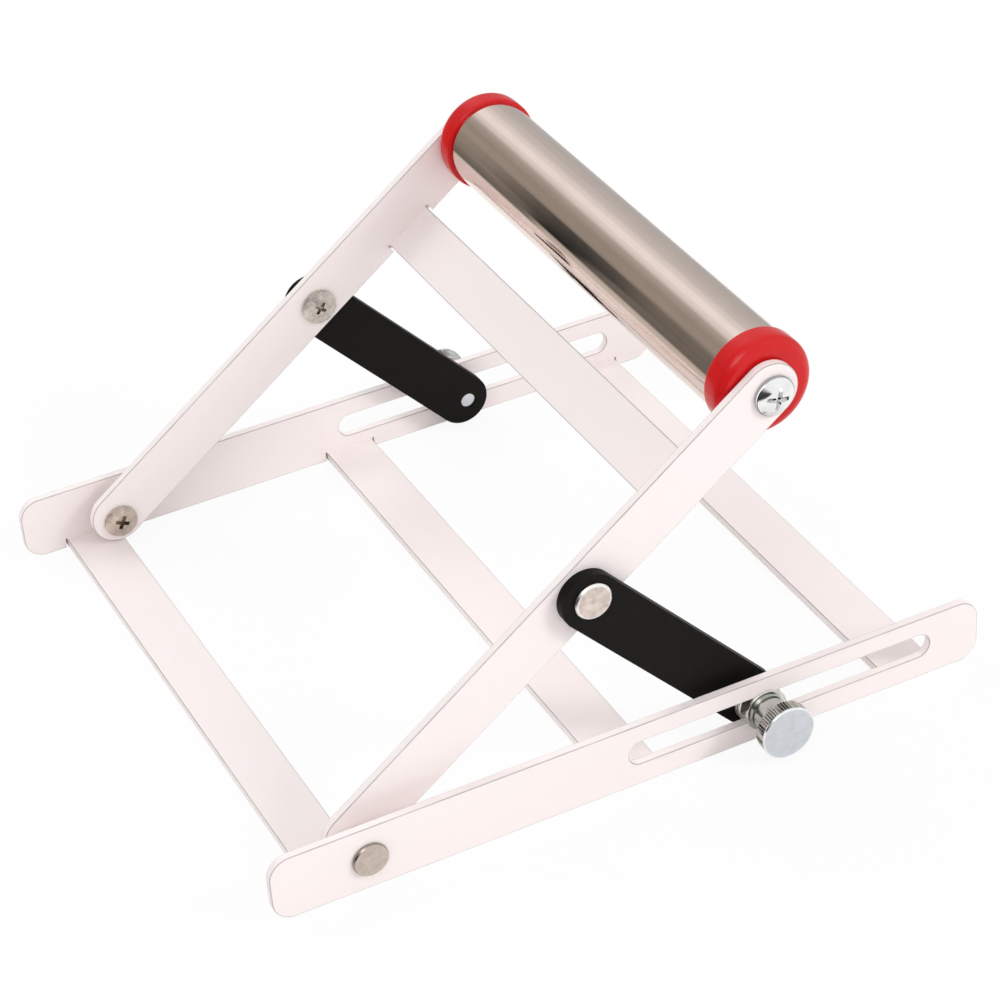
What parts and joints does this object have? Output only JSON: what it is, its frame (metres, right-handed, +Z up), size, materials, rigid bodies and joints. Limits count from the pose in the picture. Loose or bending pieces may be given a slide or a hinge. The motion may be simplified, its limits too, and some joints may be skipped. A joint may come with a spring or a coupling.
{
  "type": "material support stand",
  "caption": "Folding roller stand that holds long stock level beside a benchtop saw, with a low flat base and a height set by two thumb screws in slots.",
  "frame": {"origin": "bottom centre of the whole stand, on the surface it rests on, under the middle of the base", "axes": "+X from the hinge end to the slot end, +Y along the roller, +Z up"},
  "size_m": [0.258, 0.258, 0.1404],
  "materials": {
    "white_coat": "satin powder coat",
    "black_coat": "satin powder coat",
    "nickel": "nickel plated",
    "bright_chrome": "polished",
    "knurled_steel": "plated, knurled rim",
    "tube_steel": "fine brushed",
    "axle_steel": "turned",
    "red_plastic": "gloss"
  },
  "bodies": {
    "base": {"base_frame": "white_coat", "base_posts": "nickel", "base_post_screws": "nickel", "base_spacers": "nickel"},
    "swing": {"swing_frame": "white_coat", "link_posts": "nickel", "link_post_screws": "nickel", "roller_axle": "axle_steel", "roller_screws": "bright_chrome"},
    "roller": {"roller_tube": "tube_steel", "near_roller_cap": "red_plastic", "far_roller_cap": "red_plastic"},
    "near_link_arm": {"near_link": "black_coat", "near_thumb_washer": "nickel", "near_thumb_collar": "nickel"},
    "far_link_arm": {"far_link": "black_coat", "far_thumb_washer": "nickel", "far_thumb_collar": "nickel"},
    "near_thumb": {"near_thumb_screw": "knurled_steel"},
    "far_thumb": {"far_thumb_screw": "knurled_steel"}
  },
  "joints": [
    {"name": "swing_fold", "type": "hinge", "parent": "base", "child": "swing", "pos_m": [-0.0955, 0, 0.0115], "axis": [0, -1, 0], "range_deg": [-30.2, 13.4]},
    {"name": "near_link_fold", "type": "hinge", "parent": "swing", "child": "near_link_arm", "pos_m": [-0.01015, -0.1055, 0.07351], "axis": [0, 1, 0], "range_deg": [-72.2, 32.1]},
    {"name": "far_link_fold", "type": "hinge", "parent": "swing", "child": "far_link_arm", "pos_m": [-0.01015, 0.1055, 0.07351], "axis": [0, 1, 0], "range_deg": [-72.2, 32.1]},
    {"name": "roller_spin", "type": "hinge", "parent": "swing", "child": "roller", "pos_m": [0.05821, 0, 0.12318], "axis": [0, 1, 0], "continuous": true},
    {"name": "near_thumb_turn", "type": "hinge", "parent": "near_link_arm", "child": "near_thumb", "pos_m": [0.0468, -0.1175, 0.0111], "axis": [0, 1, 0], "range_deg": [0, 360]},
    {"name": "far_thumb_turn", "type": "hinge", "parent": "far_link_arm", "child": "far_thumb", "pos_m": [0.0468, 0.1175, 0.0111], "axis": [0, -1, 0], "range_deg": [0, 360]}
  ],
  "couplings": [
    {"joint": "near_link_fold", "follows": "swing_fold", "ratio": 2.385},
    {"joint": "far_link_fold", "follows": "swing_fold", "ratio": 2.385}
  ]
}
